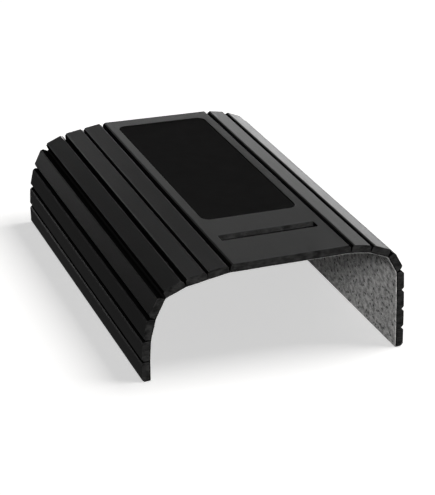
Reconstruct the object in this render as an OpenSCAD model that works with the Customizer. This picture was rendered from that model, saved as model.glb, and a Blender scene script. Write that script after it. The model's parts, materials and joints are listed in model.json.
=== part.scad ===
// A tray that drapes over the arm of a sofa. A wooden centre board carries a grip pad and a slot for
// a phone, and a wing of narrow slats hangs from each of its long sides. One felt backing is glued
// under all the wood, and the felt between two slats is their hinge.
// X runs across the arm, Y along it with the slot's end at -Y, and Z is up from what the tray stands on.

/* [Tray] */
// Length of the board and the slats, along the arm
tray_l = 356; // [240:1:500]
// Thickness of the wood
wood_t = 7.5; // [6:0.5:12]
// Width of the bevel along each long upper edge
bevel = 2.3; // [1:0.1:3]

/* [Centre board] */
// Width of the board, across the arm
board_w = 126; // [80:1:220]

/* [Slats] */
// Slats in each wing
slat_count = 7; // [2:1:7]
// Width of one slat
slat_w = 21.2; // [14:0.1:40]
// Gap between two slats, and between the board and its first slat, while they lie flat
slat_gap = 0.8; // [0.5:0.1:3]

/* [Felt backing] */
// Thickness of the felt
felt_t = 1.5; // [1:0.1:3]
// How far the felt stops short of the wood at each end
felt_inset = 0.5; // [0:0.1:3]
// Clear line between the felt of two slats, at the hinge
felt_split = 0.3; // [0.2:0.1:0.5]

/* [Grip pad] */
// Wood left beside the pad's recess
pad_side_margin = 11.2; // [6:0.1:25]
// Wood left behind the pad's recess
pad_end_margin = 16; // [6:1:60]
// Wood left between the slot's middle and the pad's recess
pad_to_slot = 40; // [12:1:80]
// Radius of the recess's corners
pad_corner_r = 9; // [3:0.5:25]
// Thickness of the pad
pad_t = 2; // [1:0.5:4]
// How far the pad lies below the top of the board
pad_drop = 0.6; // [0.1:0.1:1.5]
// Clearance around the pad in its recess
pad_clear = 0.3; // [0.1:0.1:1]

/* [Phone slot] */
// Distance from the board's front end to the middle of the slot's mouth
slot_from_end = 52.7; // [15:0.1:90]
// Wood left at each end of the slot
slot_side_margin = 11.4; // [6:0.1:30]
// Width of the slot, square to its walls
slot_w = 10.7; // [5:0.1:14]
// Depth of the slot
slot_depth = 4; // [2:0.1:5.5]
// How far the slot's walls lean back
slot_lean = 20; // [0:1:30]
// Radius of the slot's four corners
slot_corner_r = 1.5; // [0.5:0.1:2.5]

/* [Left wing's folds] */
// Fold between the board and the first slat
left_angle_1 = 10; // [0:0.5:45]
// Fold between the first and the second slat
left_angle_2 = 0; // [0:0.5:45]
// Fold between the second and the third slat
left_angle_3 = 14; // [0:0.5:45]
// Fold between the third and the fourth slat
left_angle_4 = 42.5; // [0:0.5:45]
// Fold between the fourth and the fifth slat
left_angle_5 = 13.5; // [0:0.5:45]
// Fold between the fifth and the sixth slat
left_angle_6 = 9.5; // [0:0.5:45]
// Fold between the sixth and the seventh slat
left_angle_7 = 3.5; // [0:0.5:45]

/* [Right wing's folds] */
// Fold between the board and the first slat
right_angle_1 = 9; // [0:0.5:45]
// Fold between the first and the second slat
right_angle_2 = 12.5; // [0:0.5:45]
// Fold between the second and the third slat
right_angle_3 = 36.5; // [0:0.5:45]
// Fold between the third and the fourth slat
right_angle_4 = 25; // [0:0.5:45]
// Fold between the fourth and the fifth slat
right_angle_5 = 0.5; // [0:0.5:45]
// Fold between the fifth and the sixth slat
right_angle_6 = 1; // [0:0.5:45]
// Fold between the sixth and the seventh slat
right_angle_7 = 0; // [0:0.5:45]

/* [Hidden] */
$fn = 64;
// How far a cut runs on past the wood
over = 2;
// Which way each wing lies along X
left = -1;
right = 1;

tray_t = felt_t + wood_t;
slat_pitch = slat_w + slat_gap;
slat_edge = slat_gap / 2 + slat_w;
left_angles = [
    left_angle_1, left_angle_2, left_angle_3, left_angle_4, left_angle_5, left_angle_6, left_angle_7
];
right_angles = [
    right_angle_1, right_angle_2, right_angle_3, right_angle_4, right_angle_5, right_angle_6, right_angle_7
];

slot_y = -tray_l / 2 + slot_from_end;
slot_l = board_w - 2 * slot_side_margin;
// More than the slot's leaning cut needs to run on past its floor and its mouth
slot_reach = slot_w + slot_depth + over;
recess_w = board_w - 2 * pad_side_margin;
recess_front = slot_y + pad_to_slot;
recess_back = tray_l / 2 - pad_end_margin;
recess_l = recess_back - recess_front;
recess_y = (recess_back + recess_front) / 2;
recess_depth = pad_t + pad_drop;

// A wing is worked out in its own half plane: distance outwards from the board's middle, and height
// above the hinges. The hinges lie in the felt's underside, where it doesn't stretch as it folds.
function fold(side, k) = side == left ? left_angles[k - 1] : right_angles[k - 1];
function turn(side, k) = k == 0 ? 0 : fold(side, k) + turn(side, k - 1);
function along(angle) = [cos(angle), -sin(angle)];
function square_to(angle) = [sin(angle), cos(angle)];
function hinge(side, k) = k == 1
    ? [board_w / 2 + slat_gap / 2, 0]
    : hinge(side, k - 1) + slat_pitch * along(turn(side, k - 1));
function on_slat(side, k, out, up) = let (p = hinge(side, k)
    + out * along(turn(side, k))
    + up * square_to(turn(side, k))) [side * p[0], p[1]];

// The tray stands on the edges of its last two slats. One wing reaches lower than the other, so the
// whole tray leans, by the angle that brings the lowest points of both wings to one level.
function foot_points(side) = [
    on_slat(side, slat_count, slat_edge, 0),
    on_slat(side, slat_count, slat_edge, tray_t - bevel),
    on_slat(side, slat_count, slat_edge - bevel, tray_t)
];
function leaned(p, angle) = [p[0] * cos(angle) + p[1] * sin(angle), p[1] * cos(angle) - p[0] * sin(angle)];
function lowest(side, angle) = let (
    points = [for (p = foot_points(side)) leaned(p, angle)],
    low = min([for (p = points) p[1]])
) [for (p = points) if (p[1] == low) p][0];
function settled(angle, steps) = steps == 0 ? angle : let (
    l = lowest(left, angle),
    r = lowest(right, angle)
) settled(angle + atan((l[1] - r[1]) / (l[0] - r[0])), steps - 1);
lean_steps = 8;
lean = settled(0, lean_steps);
lift = -lowest(left, lean)[1];

// The origin is midway between the outer faces of the wings.
outer_x = [
    for (side = [left, right], k = [1:slat_count], out = [slat_gap / 2 + bevel, slat_edge - bevel])
        leaned(on_slat(side, k, out, tray_t), lean)[0]
];
shift = -(min(outer_x) + max(outer_x)) / 2;

left_slats = [for (k = [1:slat_count]) str("slat_left_", k)];
right_slats = [for (k = [1:slat_count]) str("slat_right_", k)];
left_felts = [for (k = [1:slat_count]) str("backing_left_", k)];
right_felts = [for (k = [1:slat_count]) str("backing_right_", k)];

wood = "#2e2d2c";
foam = "#191919";
felt = "#7c7b79";

// From the flat tray's frame, with the hinges at height 0, to where the tray stands
module standing() {
    translate([shift, 0, lift]) rotate([0, lean, 0]) children();
}

// From a slat's frame, with its hinge at the origin and the slat along X, to its place in the wing
module hinged(side, k) {
    p = hinge(side, k);
    standing() translate([side * p[0], 0, p[1]]) rotate([0, side * turn(side, k), 0]) children();
}

// A length of wood with its two long upper edges bevelled, resting on height 0
module plank(w) {
    rotate([90, 0, 0]) linear_extrude(height = tray_l, center = true) polygon([
        [-w / 2, 0],
        [w / 2, 0],
        [w / 2, wood_t - bevel],
        [w / 2 - bevel, wood_t],
        [bevel - w / 2, wood_t],
        [-w / 2, wood_t - bevel]
    ]);
}

// The outline of the recess, the pad and the slot: a rectangle with its corners rounded
module rounded_rectangle(w, l, r) {
    square([w - 2 * r, l], center = true);
    square([w, l - 2 * r], center = true);
    for (x = [r - w / 2, w / 2 - r], y = [r - l / 2, l / 2 - r]) translate([x, y]) circle(r);
}

// The room that the slot takes out of the board: leaning walls and a level floor
module slot_space() {
    intersection() {
        translate([0, slot_y, wood_t]) rotate([-slot_lean, 0, 0])
            linear_extrude(height = 2 * slot_reach, center = true)
                rounded_rectangle(slot_l, slot_w, slot_corner_r);
        translate([-board_w / 2, slot_y - slot_reach, wood_t - slot_depth])
            cube([board_w, 2 * slot_reach, slot_depth + over]);
    }
}

module tray_board() {
    color(wood) standing() translate([0, 0, felt_t]) difference() {
        plank(board_w);
        translate([0, recess_y, wood_t - recess_depth])
            linear_extrude(height = recess_depth + over) rounded_rectangle(recess_w, recess_l, pad_corner_r);
        slot_space();
    }
}

module grip_pad() {
    color(foam) standing() translate([0, recess_y, tray_t - recess_depth])
        linear_extrude(height = pad_t)
            rounded_rectangle(recess_w - 2 * pad_clear, recess_l - 2 * pad_clear, pad_corner_r - pad_clear);
}

module slat(side, k) {
    color(wood) hinged(side, k) translate([side * (slat_gap + slat_w) / 2, 0, felt_t]) plank(slat_w);
}

// A strip of the backing between two places along X, in the frame of the board or of a slat
module felt_strip(from, to) {
    translate([from, felt_inset - tray_l / 2, 0]) cube([to - from, tray_l - 2 * felt_inset, felt_t]);
}

module backing_centre() {
    reach = board_w / 2 + slat_gap / 2 - felt_split / 2;
    color(felt) standing() felt_strip(-reach, reach);
}

module backing(side, k) {
    near = felt_split / 2;
    far = k == slat_count ? slat_edge : slat_pitch - felt_split / 2;
    color(felt) hinged(side, k) felt_strip(side == left ? -far : near, side == left ? -near : far);
}

tray_board();
grip_pad();
backing_centre();
for (k = [1:slat_count]) {
    slat(left, k);
    slat(right, k);
    backing(left, k);
    backing(right, k);
}
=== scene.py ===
import json
import math
import bpy
import numpy as np
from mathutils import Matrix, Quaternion, Vector
from mathutils.geometry import tessellate_polygon


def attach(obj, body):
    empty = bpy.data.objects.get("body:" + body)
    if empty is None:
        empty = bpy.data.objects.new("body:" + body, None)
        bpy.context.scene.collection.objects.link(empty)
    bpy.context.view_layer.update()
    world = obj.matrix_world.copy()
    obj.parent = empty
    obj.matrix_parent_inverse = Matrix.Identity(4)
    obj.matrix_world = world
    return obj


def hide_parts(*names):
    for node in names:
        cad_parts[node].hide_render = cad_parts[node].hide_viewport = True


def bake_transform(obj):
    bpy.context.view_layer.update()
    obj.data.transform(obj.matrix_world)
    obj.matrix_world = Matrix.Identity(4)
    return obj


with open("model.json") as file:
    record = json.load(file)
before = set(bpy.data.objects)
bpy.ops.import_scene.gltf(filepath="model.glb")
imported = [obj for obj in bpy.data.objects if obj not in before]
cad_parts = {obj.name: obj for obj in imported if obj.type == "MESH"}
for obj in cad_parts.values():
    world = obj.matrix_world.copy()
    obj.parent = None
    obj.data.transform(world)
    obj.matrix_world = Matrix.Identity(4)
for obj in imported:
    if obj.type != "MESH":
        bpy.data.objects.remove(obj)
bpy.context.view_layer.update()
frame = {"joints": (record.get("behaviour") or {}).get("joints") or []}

# Centre board
# One flat length of close-grained wood with its two long upper edges bevelled. The pad's recess and the
# phone slot are cut into its top, an arris is sanded along every edge, and all of it is sprayed black.
# It leans a little between its first two hinge lines, because one wing is folded more than the other.
mm = 0.001
felt_t = 1.5 * mm
wood_t = 7.5 * mm
tray_l = 356 * mm
bevel = 2.3 * mm
slat_gap = 0.8 * mm
arris = 0.4 * mm
joints = {joint["name"]: joint for joint in frame["joints"]}


def hinge_line(side, k):
    """The middle of the hinge line between slat k and the piece before it, in the felt's underside."""
    return np.array(joints[f"{side}_hinge_{k}"]["pos_m"])


def turned(vectors, turn):
    """Vectors of a flat piece turned about Y: x and z together, anticlockwise as the front end is seen."""
    x, y, z = np.moveaxis(vectors, -1, 0)
    turned_x = x * math.cos(turn) - z * math.sin(turn)
    return np.stack([turned_x, y, x * math.sin(turn) + z * math.cos(turn)], -1)


across = hinge_line("right", 1) - hinge_line("left", 1)
hinge_to_hinge = float(np.linalg.norm(across))
board_w = hinge_to_hinge - slat_gap
lean = math.atan2(across[2], across[0])
board_seat = ((hinge_line("right", 1) + hinge_line("left", 1)) / 2, lean)


class Value:
    """A shader socket that adds a Math node for each sum, product or absolute value it is used in."""

    def __init__(self, tree, socket):
        self.tree = tree
        self.socket = socket

    def math(self, operation, first, second):
        """The result of one Math node on two values or plain numbers."""
        node = self.tree.nodes.new("ShaderNodeMath")
        node.operation = operation
        for socket, value in zip(node.inputs, (first, second)):
            plug(self.tree, socket, value)
        return Value(self.tree, node.outputs[0])

    def __add__(self, other):
        return self.math("ADD", self, other)

    def __radd__(self, other):
        return self.math("ADD", other, self)

    def __mul__(self, other):
        return self.math("MULTIPLY", self, other)

    def __rmul__(self, other):
        return self.math("MULTIPLY", other, self)

    def __abs__(self):
        return self.math("ABSOLUTE", self, 0.0)


def plug(tree, socket, value):
    """Links a Value to the socket, or sets the socket to a plain number or colour."""
    if isinstance(value, Value):
        tree.links.new(value.socket, socket)
    else:
        socket.default_value = value


class Finish:
    """A material being built: its tree, its Principled shader, and one method that adds any other node."""

    def __init__(self, name):
        self.material = bpy.data.materials.new(name)
        self.material.use_nodes = True
        self.tree = self.material.node_tree
        self.shader = self.tree.nodes["Principled BSDF"]

    def node(self, kind, settings=(), inputs=(), output=0):
        """Adds a node of that kind: its settings first, then the values or links of its sockets."""
        node = self.tree.nodes.new(kind)
        for name, setting in dict(settings).items():
            if name == "stops":
                for element, (position, grey) in zip(ramp_elements(node, len(setting)), setting):
                    element.position = position
                    element.color = (grey, grey, grey, 1)
            else:
                setattr(node, name, setting)
        for name, value in dict(inputs).items():
            plug(self.tree, node.inputs[name], value)
        return Value(self.tree, node.outputs[output])

    def place(self, stretch):
        """Object coordinates in metres, each multiplied by its own stretch."""
        where = self.node("ShaderNodeTexCoord", output="Object")
        return self.node("ShaderNodeMapping", inputs={"Vector": where, "Scale": stretch})

    def noise(self, where, scale, detail=3.0, roughness=0.55):
        """Fractal noise from 0 to 1, with that many grains in a unit of its place."""
        settings = {"noise_dimensions": "3D", "normalize": True}
        inputs = {"Vector": where, "Scale": scale, "Detail": detail, "Roughness": roughness}
        return self.node("ShaderNodeTexNoise", settings, inputs, "Fac")

    def ramp(self, value, stops):
        """The value through a grey ramp, given as pairs of position and grey."""
        return self.node("ShaderNodeValToRGB", {"stops": stops}, {"Fac": value})

    def mix(self, share, first, second):
        """A colour that goes from the first to the second as share goes from 0 to 1."""
        inputs = {"Factor": share, 6: first, 7: second}
        return self.node("ShaderNodeMix", {"data_type": "RGBA"}, inputs, 2)

    def bump(self, height, distance, strength=1.0, below=None):
        """A normal from a height of 0 to 1, which stands for that many metres, over an earlier normal."""
        inputs = {"Height": height, "Distance": distance, "Strength": strength}
        if below is not None:
            inputs["Normal"] = below
        return self.node("ShaderNodeBump", inputs=inputs)

    def shade(self, **inputs):
        """Sets or links the shader's sockets, named with underlines for spaces."""
        for name, value in inputs.items():
            plug(self.tree, self.shader.inputs[name.replace("_", " ")], value)


def ramp_elements(node, count):
    """The ramp's stops, as many as are asked for."""
    elements = node.color_ramp.elements
    while len(elements) < count:
        elements.new(1.0)
    return elements


def grey(level):
    """A neutral colour of that linear level, the least bit warm."""
    return (level * 1.01, level, level * 0.985, 1)


# The lacquer is thin: on the flat tops its satin sheen is broken along the length by the fibres below.
lacquer = Finish("satin_black_lacquer")
fibres = lacquer.noise(lacquer.place((1, 0.02, 1)), 1300, detail=4)
figure = lacquer.noise(lacquer.place((1, 0.05, 1)), 120, detail=2)
orange_peel = lacquer.noise(lacquer.place((1, 1, 1)), 520, detail=2)
lacquer.shade(
    Base_Color=lacquer.mix(lacquer.ramp(0.6 * fibres + 0.4 * figure, [(0.3, 0.0), (0.7, 1.0)]),
                           grey(0.003), grey(0.006)),
    Roughness=0.24 + 0.12 * fibres + 0.08 * figure,
    Specular_IOR_Level=0.34,
    Normal=lacquer.bump(orange_peel, 0.06 * mm, below=lacquer.bump(fibres, 0.09 * mm)),
)

# The bevels and the sides are left as they were cut, so the same spray dries matt there. Their blacker
# colour is painted shade for the grooves between the slats.
side_with_painted_shade = Finish("matt_black_lacquer_with_painted_shade")
cut_marks = side_with_painted_shade.noise(side_with_painted_shade.place((1, 0.08, 1)), 1500, detail=3)
side_with_painted_shade.shade(
    Base_Color=side_with_painted_shade.mix(cut_marks, grey(0.001), grey(0.003)),
    Roughness=0.72 + 0.16 * cut_marks,
    Specular_IOR_Level=0.0,
    Normal=side_with_painted_shade.bump(cut_marks, 0.05 * mm, 0.6),
)

# End grain drinks the spray, so the ends and the slot's long walls are a mottled, dusty charcoal.
end_grain = Finish("charcoal_end_grain")
pores = end_grain.noise(end_grain.place((1, 1, 1)), 1500, detail=3, roughness=0.6)
rings_of_growth = end_grain.noise(end_grain.place((0.5, 1, 1.6)), 420, detail=3)
patches = end_grain.noise(end_grain.place((1, 1, 1)), 130, detail=2)
drunk_in = end_grain.ramp(0.3 * pores + 0.35 * rings_of_growth + 0.35 * patches, [(0.4, 0.0), (0.6, 1.0)])
end_grain.shade(
    Base_Color=end_grain.mix(drunk_in, grey(0.002), grey(0.03)),
    Roughness=0.8 + 0.14 * pores,
    Specular_IOR_Level=0.14,
    Normal=end_grain.bump(pores, 0.16 * mm, 0.8),
)

arc_steps = 6
quarter_turn = math.pi / 2
round_over = np.linspace(0, quarter_turn, arc_steps)
# The last ring stops short of a quarter turn, so that no two of its points meet.
end_round_over = np.append(round_over[:-1], math.radians(88))
on_top, on_side, on_end = 0, 1, 2
# The satin coat runs over the top's edges and this far down each bevel, where the section gets one more
# point. With those in, the plain top is the quad that starts at this column, and the coat ends one arc
# to either side of it.
# Below the coat's end the bevels take the side finish, whose blacker colour is painted groove shade.
satin_share = 0.45
right_bevel, left_bevel = 3 * arc_steps, 5 * arc_steps
top_column = 4 * arc_steps


def bar_section(width):
    """The bevelled section's corners, from the lower left one round to the right, then up and back."""
    half = width / 2
    return np.array([
        (-half, 0), (half, 0), (half, wood_t - bevel),
        (half - bevel, wood_t), (bevel - half, wood_t), (-half, wood_t - bevel),
    ])


def rolled_corners(corners, radius):
    """For a convex section: its corners drawn in so that a circle of that radius rolled round them
    touches its sides, each repeated along the arc there, and the outward directions over those arcs."""
    side = np.roll(corners, -1, 0) - corners
    out = np.stack([side[:, 1], -side[:, 0]], -1) / np.linalg.norm(side, axis=1)[:, None]
    before = np.roll(out, 1, 0)
    core = corners - radius * (before + out) / (1 + (before * out).sum(1))[:, None]
    first = np.arctan2(before[:, 1], before[:, 0])
    swing = np.mod(np.arctan2(out[:, 1], out[:, 0]) - first, 2 * math.pi)
    angles = (first[:, None] + swing[:, None] * np.linspace(0, 1, arc_steps)).ravel()
    return np.repeat(core, arc_steps, 0), np.stack([np.cos(angles), np.sin(angles)], -1)


def bar(width):
    """A bevelled bar along Y, as a ball of the arris's radius rolled over a smaller bar: each ring is the
    core section moved out by the ball's reach there, and at the ends the reach tips over to Y.
    Returns points and normals on a grid of rings by section points."""
    core, out = rolled_corners(bar_section(width), arris)
    for after, top_end, foot_end in ((left_bevel, -1, 0), (right_bevel, 0, -1)):
        edge = core[after + top_end] + satin_share * (core[after + foot_end] - core[after + top_end])
        core, out = np.insert(core, after, edge, 0), np.insert(out, after, out[after], 0)
    tip = np.concatenate([-end_round_over[::-1], end_round_over])[:, None]
    y = np.sign(tip) * (tray_l / 2 - arris) + arris * np.sin(tip)
    # The two middle rings aren't tipped, so they have no sign to say which end they are at.
    y[arc_steps - 1], y[arc_steps] = arris - tray_l / 2, tray_l / 2 - arris
    reach = np.cos(tip)[..., None] * out
    normals = np.stack([reach[..., 0], np.broadcast_to(np.sin(tip), reach.shape[:2]), reach[..., 1]], -1)
    section = core + arris * reach
    points = np.stack([section[..., 0], np.broadcast_to(y, section.shape[:2]), section[..., 1]], -1)
    return points, normals


def grid_faces(rings, around, start=0):
    """Quads between rings of a closed section that runs anticlockwise, seen against the rings' order."""
    i, j = np.meshgrid(np.arange(rings - 1), np.arange(around), indexing="ij")
    after = (j + 1) % around
    corners = [i * around + j, (i + 1) * around + j, (i + 1) * around + after, i * around + after]
    return start + np.stack(corners, -1).reshape(-1, 4)


def end_caps(rings, around):
    """The faces that fill a grid's first and last ring."""
    return [list(range(around)), list(range(rings * around - 1, (rings - 1) * around - 1, -1))]


def bar_coats(rings, around):
    """The finish of each quad of a bar: the top and its edges down to the satin coat's end are top, the
    rounded ends outside the two middle rings are end grain, and the rest is side."""
    ring, column = np.divmod(np.arange((rings - 1) * around), around)
    coats = np.where(abs(column - top_column) <= arc_steps, on_top, on_side)
    return np.where(ring == arc_steps - 1, coats, on_end).tolist()


pieces = []


def piece(name, points, faces, normals, seat, finishes, coats):
    """A mesh object from points and normals of the flat piece, seated in the standing tray. Its place is
    in its mesh, it is smooth, the normals given are kept, and coats names each face's finish."""
    origin, turn = seat
    mesh = bpy.data.meshes.new(name)
    mesh.from_pydata(turned(points, turn) + origin, [], faces)
    mesh.shade_smooth()
    if normals is not None:
        mesh.normals_split_custom_set_from_vertices(turned(normals, turn))
    for finish in finishes:
        mesh.materials.append(finish.material)
    mesh.polygons.foreach_set("material_index", np.array(coats, np.int32))
    made = bpy.data.objects.new(name, mesh)
    bpy.context.scene.collection.objects.link(made)
    pieces.append(made)
    return made


corner_steps = 12


def rounded_outline(width, length, radius):
    """A rectangle with round corners, anticlockwise from above: its points and outward directions."""
    first_corner = np.linspace(0, quarter_turn, corner_steps)
    angles = np.concatenate([first_corner + quarter * quarter_turn for quarter in range(4)])
    out = np.stack([np.cos(angles), np.sin(angles)], -1)
    quarters = np.repeat([(1, 1), (-1, 1), (-1, -1), (1, -1)], corner_steps, 0)
    return quarters * (width / 2 - radius, length / 2 - radius) + radius * out, out


def cut_profile(rim, depth, fillet):
    """How a cut goes down from the board's top: a round rim, a wall and a fillet to the floor, as pairs
    of distance outwards from the wall and height from the top, with the normal in the same pairs."""
    rim_out = np.stack([rim - rim * np.sin(round_over), rim * np.cos(round_over) - rim], -1)
    rim_normal = np.stack([-np.sin(round_over), np.cos(round_over)], -1)
    foot_up = fillet - fillet * np.sin(round_over) - depth
    foot_out = np.stack([fillet * np.cos(round_over) - fillet, foot_up], -1)
    foot_normal = np.stack([-np.cos(round_over), np.sin(round_over)], -1)
    return np.concatenate([rim_out, foot_out]), np.concatenate([rim_normal, foot_normal])


def carried_round(outline, out, profile, middle, level, slope=0.0):
    """A profile carried round an outline: each ring is the outline moved out by the profile's distance,
    at the profile's height over that level, and moved back by slope for each metre that it rises."""
    shape, normal = profile
    flat = outline + shape[:, :1, None] * out
    height = np.broadcast_to(shape[:, 1:], flat.shape[:2])
    leaned_y = flat[..., 1] + middle[1] + slope * height
    points = np.stack([flat[..., 0] + middle[0], leaned_y, height + level], -1)
    sideways = normal[:, :1, None] * out
    rise = np.broadcast_to(normal[:, 1:], flat.shape[:2]) - slope * sideways[..., 1]
    normals = np.concatenate([sideways, rise[..., None]], -1)
    return points, normals / np.linalg.norm(normals, axis=-1, keepdims=True)


slot_from_end = 52.7 * mm
slot_side_margin = 11.4 * mm
slot_w = 10.7 * mm
slot_depth = 4 * mm
slot_lean = math.radians(20)
slot_corner_r = 1.5 * mm
pad_side_margin = 11.2 * mm
pad_end_margin = 16 * mm
pad_to_slot = 40 * mm
pad_corner_r = 9 * mm
recess_depth = 2.6 * mm
rim = 0.35 * mm
recess_fillet = 0.3 * mm
slot_fillet = 0.6 * mm

slot_y = slot_from_end - tray_l / 2
recess_w = board_w - 2 * pad_side_margin
recess_l = tray_l - pad_end_margin - slot_from_end - pad_to_slot
recess_y = slot_y + pad_to_slot + recess_l / 2
slot_outline, slot_out = rounded_outline(board_w - 2 * slot_side_margin, slot_w, slot_corner_r)
# Walls that lean back make the slot's level section wider than the slot is square to them.
slot_outline = slot_outline * (1, 1 / math.cos(slot_lean))
recess_cut = carried_round(*rounded_outline(recess_w, recess_l, pad_corner_r),
                           cut_profile(rim, recess_depth, recess_fillet), (0, recess_y), wood_t)
slot_cut = carried_round(slot_outline, slot_out, cut_profile(rim, slot_depth, slot_fillet),
                         (0, slot_y), wood_t, math.tan(slot_lean))

points, normals = bar(board_w)
rings, around = points.shape[:2]
quads, coats = grid_faces(rings, around), bar_coats(rings, around)
# The plain top is left out, and made again around the two cuts.
plain_top = (arc_steps - 1) * around + top_column
front_left, front_right, back_right, back_left = quads[plain_top][[3, 0, 1, 2]]
faces = np.delete(quads, plain_top, 0).tolist() + end_caps(rings, around)
coats = coats[:plain_top] + coats[plain_top + 1:] + [on_end, on_end]
all_points, all_normals = [points.reshape(-1, 3)], [normals.reshape(-1, 3)]
loops = [[front_left, front_right, back_right, back_left]]
# The slot's long walls cut across the grain and show it. Its short walls and the recess's take the matt
# side finish, with its painted shade.
slot_coats = np.where(abs(slot_out[:, 1]) > abs(slot_out[:, 0]), on_end, on_side)
for (cut_points, cut_normals), wall_coats in ((recess_cut, [on_side]), (slot_cut, slot_coats)):
    start = sum(len(part) for part in all_points)
    depth_rings, round_points = cut_points.shape[:2]
    wall = grid_faces(depth_rings, round_points, start)[:, ::-1].tolist()
    floor_ring = start + (depth_rings - 1) * round_points
    faces += wall + [list(range(floor_ring, floor_ring + round_points))]
    on_rim = (arc_steps - 1) * round_points
    coats += [on_top] * on_rim + np.resize(wall_coats, len(wall) - on_rim).tolist() + [on_side]
    loops.append(list(range(start, start + round_points)))
    all_points.append(cut_points.reshape(-1, 3))
    all_normals.append(cut_normals.reshape(-1, 3))
board_points = np.concatenate(all_points)
edges_of_top = [[Vector(board_points[i]) for i in loop] for loop in loops]
triangles = np.concatenate(loops)[np.array(tessellate_polygon(edges_of_top))]
corner = board_points[triangles][..., :2]
area = np.cross(corner[:, 1] - corner[:, 0], corner[:, 2] - corner[:, 0])
triangles[area < 0] = triangles[area < 0][:, ::-1]
# The fill makes triangles of no area between points in one line, and these are dropped.
least_area = 1e-6 * mm ** 2
triangles = triangles[abs(area) > least_area]
faces += triangles.tolist()
coats += [on_top] * len(triangles)
wood_up = np.array([0, 0, felt_t])
# The side finish's blacker colour is painted shade for the grooves between the slats.
wood_finishes = [lacquer, side_with_painted_shade, end_grain]
board = piece("centre_board", board_points + wood_up, faces, np.concatenate(all_normals), board_seat,
              wood_finishes, coats)
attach(board, "tray")
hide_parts("tray_board")

# Slats
# Fourteen narrow lengths of the same wood as the board, bevelled and sprayed alike, seven to a wing.
# A hinge's lowest value is the turn that lays the tray flat there, so it gives the fold at rest.
wings = {"left": -1, "right": 1}
slats_in_wing = sum(name.startswith("left_hinge_") for name in joints)
slat_w = float(np.linalg.norm(hinge_line("left", 2) - hinge_line("left", 1))) - slat_gap


def fold(side, k):
    """The fold at that hinge at rest, in radians."""
    return math.radians(-joints[f"{side}_hinge_{k}"]["range_deg"][0])


def slat_seat(side, k):
    """Slat k's hinge line and its turn: the board's lean and all the folds up to it, down on each side."""
    folded = sum(fold(side, i) for i in range(1, k + 1))
    return hinge_line(side, k), lean - wings[side] * folded


points, normals = bar(slat_w)
rings, around = points.shape[:2]
slat_faces = grid_faces(rings, around).tolist() + end_caps(rings, around)
slat_coats = bar_coats(rings, around) + [on_end, on_end]
slat_points, slat_normals = points.reshape(-1, 3), normals.reshape(-1, 3)
for side, way in wings.items():
    for k in range(1, slats_in_wing + 1):
        from_hinge = np.array([way * (slat_gap + slat_w) / 2, 0, felt_t])
        slat = piece(f"{side}_slat_{k}", slat_points + from_hinge, slat_faces, slat_normals,
                     slat_seat(side, k), wood_finishes, slat_coats)
        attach(slat, f"{side}_slat_{k}")
        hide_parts(f"slat_{side}_{k}")

# Grip pad
# A sheet of fine black foam, die cut with round corners and glued into the recess, a little below the
# wood. It is dead matt, with the fine closed cells that its skin shows.
foam = Finish("matt_black_foam")
cells = foam.noise(foam.place((1, 1, 1)), 2200, detail=2)
cloud = foam.noise(foam.place((1, 1, 1)), 60, detail=2)
skin = foam.ramp(0.7 * cells + 0.3 * cloud, [(0.3, 0.0), (0.7, 1.0)])
foam.shade(
    Base_Color=foam.mix(skin, grey(0.0025), grey(0.0065)),
    Roughness=0.86 + 0.12 * cells,
    Specular_IOR_Level=0.02,
    Normal=foam.bump(cells, 0.08 * mm, 0.6),
)
pad_t = 2 * mm
pad_clear = 0.3 * mm
pad_arris = 0.4 * mm
outline, out = rounded_outline(recess_w - 2 * pad_clear, recess_l - 2 * pad_clear, pad_corner_r - pad_clear)
foot_in, top_in = pad_arris * np.sin(round_over) - pad_arris, pad_arris * np.cos(round_over) - pad_arris
foot_up = pad_arris - pad_arris * np.cos(round_over)
top_up = pad_t - pad_arris + pad_arris * np.sin(round_over)
shape = np.stack([np.append(foot_in, top_in), np.append(foot_up, top_up)], -1)
tilt = np.append(round_over - quarter_turn, round_over)
pad_profile = (shape, np.stack([np.cos(tilt), np.sin(tilt)], -1))
recess_floor = felt_t + wood_t - recess_depth
points, normals = carried_round(outline, out, pad_profile, (0, recess_y), recess_floor)
rings, around = points.shape[:2]
faces = [face[::-1] for face in grid_faces(rings, around).tolist() + end_caps(rings, around)]
pad = piece("foam_pad", points.reshape(-1, 3), faces, normals.reshape(-1, 3), board_seat,
            [foam], [0] * len(faces))
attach(pad, "tray")
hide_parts("grip_pad")

# Felt backing
# One sheet of flecked grey felt is glued under the board and all the slats, and bends in the gaps
# between them. It is made here as one strip across each hinge, from the middle of a slat to the
# middle of the next, and one under the board, each bent over its own hinge's fold at rest.
tray_half_l = tray_l / 2
felt = Finish("flecked_grey_felt")
flat_place = felt.node("ShaderNodeUVMap", {"uv_map": "flat_sheet"})
in_sheet = {"noise_dimensions": "2D"}
out_of_round = 0.6 * mm


def flecks(scale, size, soft, seed, share):
    """Flecks scattered at that many cells in a metre: 1 inside a fleck's size, down to 0 at soft, and
    only in that share of the cells, picked by their own random number. A noise pulls them out of round,
    and the seed moves them along the sheet."""
    moved = felt.node("ShaderNodeMapping", inputs={"Vector": flat_place, "Location": (seed, seed * 1.7, 0)})
    warp = felt.node("ShaderNodeTexNoise", in_sheet, {"Vector": moved, "Scale": scale * 1.3}, "Color")
    bent = felt.node("ShaderNodeMix", {"data_type": "VECTOR"},
                     {"Factor": out_of_round, 4: moved, 5: warp}, 1)
    settings = {"voronoi_dimensions": "2D", "feature": "F1"}
    inputs = {"Vector": bent, "Scale": scale}
    distance = felt.node("ShaderNodeTexVoronoi", settings, inputs, "Distance")
    pick = felt.node("ShaderNodeTexVoronoi", settings, inputs, "Color")
    chosen = felt.node("ShaderNodeSeparateColor", inputs={"Color": pick})
    inside = felt.ramp(distance, [(size, 1.0), (soft, 0.0)])
    return inside * felt.ramp(chosen, [(1 - share, 0.0), (1.04 - share, 1.0)])


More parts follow.
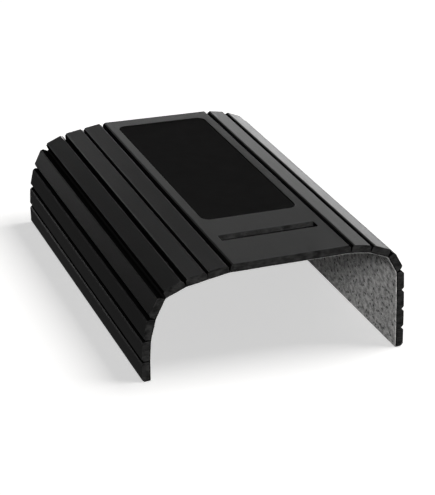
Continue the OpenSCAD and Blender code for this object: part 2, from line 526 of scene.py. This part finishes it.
fuzz = felt.node("ShaderNodeTexNoise", in_sheet,
                 {"Vector": flat_place, "Scale": 1000, "Detail": 4.0, "Roughness": 0.65}, "Fac")
mottle = felt.node("ShaderNodeTexNoise", in_sheet,
                   {"Vector": flat_place, "Scale": 170, "Detail": 3.0}, "Fac")
dark_flecks = flecks(150, size=0.14, soft=0.24, seed=3.1, share=0.4)
light_flecks = flecks(260, size=0.1, soft=0.25, seed=7.7, share=0.4)
ground = felt.mix(felt.ramp(0.5 * fuzz + 0.5 * mottle, [(0.37, 0.0), (0.63, 1.0)]), grey(0.16), grey(0.6))
with_light = felt.mix(0.6 * light_flecks, ground, grey(0.75))
# A paler band runs along the sheet beside both of its cut ends.
from_middle = felt.node("ShaderNodeSeparateXYZ", inputs={"Vector": flat_place}, output="Y")
beside_cut = felt.ramp(abs(from_middle) * (1 / tray_half_l), [(0.972, 0.0), (0.985, 1.0)])
with_pale_ends = felt.mix(0.15 * beside_cut, with_light, grey(0.75))
felt.shade(
    Base_Color=felt.mix(0.9 * dark_flecks, with_pale_ends, grey(0.02)),
    Roughness=0.97,
    Specular_IOR_Level=0.2,
    Normal=felt.bump(fuzz, 0.25 * mm, 0.7),
)

# Its glued face only shows in the gaps and its cut ends only beside the wood's, and both are near black.
glued_face = Finish("near_black_felt")
glued_fuzz = glued_face.noise(glued_face.place((1, 1, 1)), 1100)
glued_face.shade(
    Base_Color=glued_face.mix(glued_fuzz, grey(0.0014), grey(0.0055)),
    Roughness=0.95,
    Specular_IOR_Level=0.05,
    Normal=glued_face.bump(glued_fuzz, 0.2 * mm, 0.5),
)

felt_inset = 0.5 * mm
bend_reach = 2.4 * mm
flattest_bend = math.radians(0.05)
glue_t = 0.03 * mm
felt_rows = 8
frayed_up = 0.6 * mm
frayed_in = 0.35 * mm
sharp_from = math.radians(40)
# The cut ends wander by two waves of this height, given in radians for each metre.
wander_height = 0.12 * mm
short_wave, long_wave = 310, 127
slat_pitch = slat_w + slat_gap
# The strip under the board ends this far short of both hinges, where the bending strips take over.
first_strip_reach = 12 * mm
board_flat = hinge_to_hinge / 2 - first_strip_reach


def bent_sheet(out_along, height, bend):
    """Distance along the sheet from a hinge, and height over its underside, laid over that hinge's fold:
    straight on both sides, and a round bend that meets both straights a bend's reach from the corner.
    The first straight lies along the first axis. Returns both coordinates."""
    bend = max(bend, flattest_bend)
    radius = bend_reach / math.tan(bend / 2)
    share = np.clip((out_along / bend_reach + 1) / 2, 0, 1)
    heading = share * bend
    arc_out = (radius + height) * np.sin(heading) - bend_reach
    arc_up = (radius + height) * np.cos(heading) - radius
    past = np.maximum(out_along - bend_reach, 0)
    before = np.minimum(out_along + bend_reach, 0)
    return arc_out + before + past * math.cos(bend), arc_up - past * math.sin(bend)


def strip(name, out_along, bend, side_way, seat, flat_start):
    """A strip of the sheet, with its place in the flat sheet kept as a map. Its section in Y and
    thickness, with the lower edge of both cut ends frayed back, is carried from one distance along the
    sheet to another over one hinge's bend. The ends wander a little, as a knife's cut does."""
    y = np.linspace(-1, 1, felt_rows)
    thickness = felt_t - glue_t
    rows = [(share, -share * frayed_in if abs(share) == 1 else 0, 0) for share in y]
    rows += [(1, 0, frayed_up)] + [(share, 0, thickness) for share in y[::-1]] + [(-1, 0, frayed_up)]
    section = np.array(rows)
    around = len(section)
    if side_way > 0:
        section = section[::-1]
    flat_s = flat_start + out_along
    wander = wander_height * (np.sin(flat_s * short_wave * side_way) + np.sin(flat_s * long_wave + 1.3))
    half_l = tray_half_l - felt_inset + wander
    height = np.broadcast_to(section[:, 2], (len(out_along), around))
    x, z = bent_sheet(out_along[:, None], height, bend)
    points = np.stack([side_way * x, half_l[:, None] * section[:, 0] + section[:, 1], z], -1)
    rings = len(out_along)
    faces = grid_faces(rings, around).tolist() + end_caps(rings, around)
    # A quad gets the near-black finish where its section's two points both stand over the frayed edge.
    above = section[:, 2] >= frayed_up
    coats = np.tile((above & np.roll(above, -1)).astype(int), rings - 1).tolist() + [0, 0]
    made = piece(name, points.reshape(-1, 3), faces, None, seat, [felt, glued_face], coats)
    mesh = made.data
    mesh.set_sharp_from_angle(angle=sharp_from)
    flat_u = np.broadcast_to((side_way * flat_s)[:, None], (rings, around))
    flat_v = points[..., 1] + np.sign(points[..., 1]) * height
    corners = np.empty(len(mesh.loops), np.int32)
    mesh.loops.foreach_get("vertex_index", corners)
    sheet_map = mesh.uv_layers.new(name="flat_sheet")
    flat = np.stack([flat_u.ravel(), flat_v.ravel()], -1)[corners]
    sheet_map.data.foreach_set("uv", flat.astype(np.float32).ravel())
    return made


middle_strip = strip("felt_under_board", np.linspace(-board_flat, board_flat, 5), bend=0, side_way=1,
                     seat=board_seat, flat_start=0)
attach(middle_strip, "tray")
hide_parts("backing_centre")
bend_rings = 15
near_bend = np.linspace(-bend_reach, bend_reach, bend_rings)
for side, way in wings.items():
    for k in range(1, slats_in_wing + 1):
        back = first_strip_reach if k == 1 else slat_pitch / 2
        ahead = slat_pitch - slat_gap / 2 if k == slats_in_wing else slat_pitch / 2
        out_along = np.concatenate([[-back, -back / 2], near_bend, [ahead / 2, ahead]])
        line, turn = slat_seat(side, k)
        seat = (line, turn + way * fold(side, k))
        flat_start = hinge_to_hinge / 2 + (k - 1) * slat_pitch
        felt_strip = strip(f"felt_{side}_{k}", out_along, fold(side, k), way, seat, flat_start)
        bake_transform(felt_strip)
        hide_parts(f"backing_{side}_{k}")

# Floor, light and camera
# A plain white studio floor that glows a little, so its shadows stay pale, and one soft box high up on
# the right that throws them. The others only light the tray: a key and a side box on the right, a fill
# in front, and panels round the back that give the black tops their sheen.
floor_finish = Finish("white_studio_floor")
floor_finish.shade(Base_Color=grey(0.8), Roughness=1.0, Specular_IOR_Level=0.0,
                   Emission_Color=(1, 1, 1, 1), Emission_Strength=0.58)
floor_reach = 12.0
floor_corners = [(x * floor_reach, y * floor_reach, 0) for x, y in ((-1, -1), (1, -1), (1, 1), (-1, 1))]
floor_mesh = bpy.data.meshes.new("studio_floor")
floor_mesh.from_pydata(floor_corners, [], [(0, 1, 2, 3)])
floor_mesh.materials.append(floor_finish.material)
floor = bpy.data.objects.new("studio_floor", floor_mesh)
floor.visible_diffuse = floor.visible_glossy = False
bpy.context.scene.collection.objects.link(floor)

# A white dome closes the view over the floor. It lights nothing: the ambient light comes through it.
dome_finish = Finish("white_dome")
dome_finish.shade(Base_Color=(0, 0, 0, 1), Roughness=1.0, Specular_IOR_Level=0.0,
                  Emission_Color=(1, 1, 1, 1), Emission_Strength=1.0)
dome_segments, dome_rings = 48, 14
dome_foot, dome_crown = -0.02, math.radians(89.9)
compass, rise = np.meshgrid(np.linspace(0, 2 * math.pi, dome_segments, endpoint=False),
                            np.linspace(dome_foot, dome_crown, dome_rings))
towards_rim = np.stack([np.cos(compass) * np.cos(rise), np.sin(compass) * np.cos(rise), np.sin(rise)], -1)
dome_points = floor_reach * towards_rim
dome_mesh = bpy.data.meshes.new("white_dome")
dome_mesh.from_pydata(dome_points.reshape(-1, 3), [], grid_faces(dome_rings, dome_segments).tolist())
dome_mesh.materials.append(dome_finish.material)
dome = bpy.data.objects.new("white_dome", dome_mesh)
dome.visible_diffuse = dome.visible_glossy = dome.visible_transmission = dome.visible_shadow = False
bpy.context.scene.collection.objects.link(dome)

tray_middle = Vector((0, 0, 0.06))


def soft_light(name, azimuth, elevation, distance, size, power, lights_only):
    """A rectangular soft box that faces the tray, at an azimuth from +Y towards +X and an elevation in
    degrees, so many metres away, of that width and height. It lights one collection only."""
    light = bpy.data.lights.new(name, "AREA")
    light.shape = "RECTANGLE"
    light.size, light.size_y = size
    light.energy = power
    made = bpy.data.objects.new(name, light)
    across, up = math.radians(azimuth), math.radians(elevation)
    towards = Vector((math.sin(across) * math.cos(up), math.cos(across) * math.cos(up), math.sin(up)))
    made.location = distance * towards + tray_middle
    made.rotation_euler = towards.to_track_quat("Z", "Y").to_euler()
    made.light_linking.receiver_collection = lights_only
    bpy.context.scene.collection.objects.link(made)


tray_only = bpy.data.collections.new("tray_only")
for tray_piece in pieces:
    tray_only.objects.link(tray_piece)
floor_only = bpy.data.collections.new("floor_only")
floor_only.objects.link(floor)
soft_light("shadow_light", 93, 60, 8.0, (4.0, 4.0), 440.0, floor_only)
soft_light("key", 122, 54, 2.6, (1.3, 1.3), 24.0, tray_only)
soft_light("side", 58, 40, 3.0, (1.3, 1.0), 23.0, tray_only)
soft_light("overhead_back", 20, 62, 2.6, (1.4, 1.0), 8.0, tray_only)
soft_light("low_back_wide", 24, 5, 3.0, (2.6, 0.7), 19.0, tray_only)
soft_light("low_back", 11, 4, 3.0, (1.75, 0.62), 13.5, tray_only)
soft_light("low_back_left", -30, 4, 3.0, (0.85, 0.62), 2.8, tray_only)
soft_light("front_fill", -155, 33, 2.6, (1.8, 0.7), 66.0, tray_only)
world = bpy.data.worlds.new("studio")
world.use_nodes = True
background = world.node_tree.nodes["Background"]
background.inputs["Color"].default_value = (1, 1, 1, 1)
background.inputs["Strength"].default_value = 0.075
bpy.context.scene.world = world
bpy.context.scene.view_settings.view_transform = "Standard"

# The camera's place, aim, roll and focal length are those fitted to the photo.
photo_long_side_px = 495
sensor_mm = 36
focal_px = 1439.84
camera_at = Vector((-0.60244, -1.23905, 0.70840))
camera_aim = Vector((-0.00894, -0.03936, 0.06))
camera_roll = math.radians(6.383)
camera_data = bpy.data.cameras.new("photo_camera")
camera_data.sensor_width = sensor_mm
camera_data.lens = focal_px / photo_long_side_px * sensor_mm
camera = bpy.data.objects.new("photo_camera", camera_data)
camera.location = camera_at
camera.rotation_mode = "QUATERNION"
camera.rotation_quaternion = ((camera_aim - camera_at).to_track_quat("-Z", "Y")
                              @ Quaternion((0, 0, 1), camera_roll))
bpy.context.scene.collection.objects.link(camera)
bpy.context.scene.camera = camera
